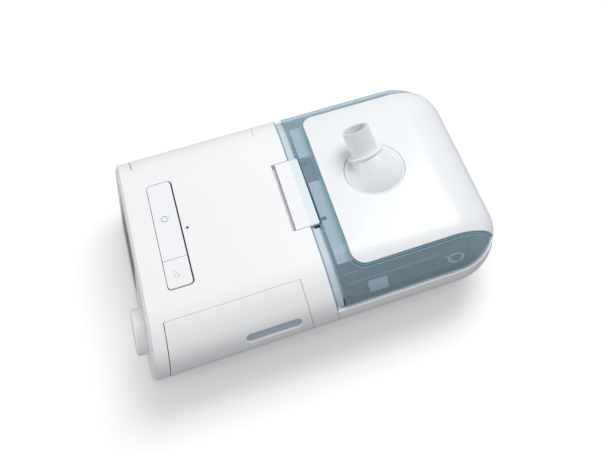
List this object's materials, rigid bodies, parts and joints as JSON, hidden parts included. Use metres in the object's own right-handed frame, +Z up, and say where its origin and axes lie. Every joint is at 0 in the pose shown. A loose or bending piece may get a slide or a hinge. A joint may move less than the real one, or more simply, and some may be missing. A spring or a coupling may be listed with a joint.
{
  "type": "bedside breathing therapy machine",
  "caption": "Bedside air pressure machine with a dial, long top buttons, side doors and a heated humidifier under a clear flip lid with a swivelling outlet tube.",
  "frame": {"origin": "on the table under the middle of the machine's overall box", "axes": "+Z up; +Y along the machine from the dial end to the humidifier end; +X across it, towards the side with the air intake slot"},
  "size_m": [0.193, 0.297, 0.1159],
  "materials": {
    "white_plastic": "fine satin white",
    "case_grey": "fine texture",
    "screen_glass": "polished",
    "black_plastic": "moulded",
    "board": "circuit board",
    "steel": "bright",
    "button_white": "fine matt white",
    "spring_steel": "drawn wire",
    "sensor_grey": "smoked",
    "filter_media": "felted fibre",
    "card_blue": "moulded",
    "inner_grey": "moulded",
    "silicone": "soft matt",
    "foot_rubber": "soft matt",
    "heater_metal": "brushed",
    "tank_clear": "clear",
    "tinted_clear": "clear blue-grey tint",
    "cover_white": "smooth white",
    "frosted": "frosted"
  },
  "bodies": {
    "machine": {"top_shell": "white_plastic", "bottom_case": "case_grey", "front_panel": "white_plastic", "display_window": "screen_glass", "display_module": "black_plastic", "display_board": "board", "dial_encoder": "steel", "button_frame": "black_plastic", "button_board": "board", "therapy_button_springs": "spring_steel", "ramp_button_springs": "spring_steel", "light_sensor": "sensor_grey", "door_pins": "steel", "filter_bay": "case_grey", "accessory_bay": "case_grey", "intake_filter": "filter_media", "card_reader": "steel", "memory_card": "card_blue", "blower_housing": "inner_grey", "blower_cover": "inner_grey", "blower_motor": "steel", "blower_mounts": "silicone", "outlet_duct": "inner_grey", "main_board": "board", "power_socket": "black_plastic", "dock_connector": "black_plastic", "case_screws": "steel", "unit_feet": "foot_rubber", "humidifier_base": "white_plastic", "heater_plate": "heater_metal", "heater_pad": "black_plastic", "heater_springs": "spring_steel", "heater_connector": "black_plastic", "tank_tub": "tank_clear", "tank_plate": "steel", "tank_seal": "silicone", "tank_lid": "tank_clear", "inlet_seal": "silicone", "humidifier_feet": "foot_rubber", "base_screws": "steel", "hinge_pins": "steel"},
    "dial_stem": {"dial_shaft": "steel"},
    "dial": {"dial_knob": "white_plastic"},
    "therapy_button": {"therapy_button": "button_white"},
    "ramp_button": {"ramp_button": "button_white"},
    "filter_door": {"filter_door": "white_plastic"},
    "accessory_door": {"accessory_door": "white_plastic"},
    "impeller": {"impeller": "inner_grey"},
    "lid": {"lid_shell": "tinted_clear", "lid_cover": "cover_white", "lid_inner_frame": "frosted", "outlet_seal": "silicone", "latch_pin": "steel", "latch_spring": "spring_steel"},
    "latch": {"latch_tab": "cover_white"},
    "elbow": {"elbow": "cover_white", "elbow_clip": "case_grey"}
  },
  "joints": [
    {"name": "therapy_button_press", "type": "slide", "parent": "machine", "child": "therapy_button", "axis": [0, 0, -1], "range_m": [0, 0.001], "stiffness_N_per_m": 400, "springref_m": -0.001, "deforming": ["therapy_button_springs"]},
    {"name": "ramp_button_press", "type": "slide", "parent": "machine", "child": "ramp_button", "axis": [0, 0, -1], "range_m": [0, 0.001], "stiffness_N_per_m": 300, "springref_m": -0.001, "deforming": ["ramp_button_springs"]},
    {"name": "dial_press", "type": "slide", "parent": "machine", "child": "dial_stem", "axis": [0, 0.9701, -0.2425], "range_m": [0, 0.0005], "stiffness_N_per_m": 900, "springref_m": -0.001},
    {"name": "dial_turn", "type": "hinge", "parent": "dial_stem", "child": "dial", "pos_m": [0.052, -0.13492, 0.0423], "axis": [0, -0.9701, 0.2425], "continuous": true},
    {"name": "filter_door_hinge", "type": "hinge", "parent": "machine", "child": "filter_door", "pos_m": [0.07155, -0.064, 0.07927], "axis": [0, -1, 0], "range_deg": [0, 60]},
    {"name": "accessory_door_hinge", "type": "hinge", "parent": "machine", "child": "accessory_door", "pos_m": [-0.07155, -0.064, 0.07927], "axis": [0, 1, 0], "range_deg": [0, 60]},
    {"name": "impeller_spin", "type": "hinge", "parent": "machine", "child": "impeller", "pos_m": [-0.008, -0.046, 0.05], "axis": [0, 0, 1], "continuous": true},
    {"name": "lid_hinge", "type": "hinge", "parent": "machine", "child": "lid", "pos_m": [0, 0.14036, 0.038], "axis": [-1, 0, 0], "range_deg": [0, 95]},
    {"name": "latch_lift", "type": "hinge", "parent": "lid", "child": "latch", "pos_m": [-0.0014, 0.012, 0.0772], "axis": [-1, 0, 0], "range_deg": [0, 8], "stiffness_Nm_per_rad": 0.03, "springref_deg": -11.46},
    {"name": "elbow_swivel", "type": "hinge", "parent": "lid", "child": "elbow", "pos_m": [-0.002, 0.0697, 0.08], "axis": [0, 0, 1], "continuous": true}
  ]
}
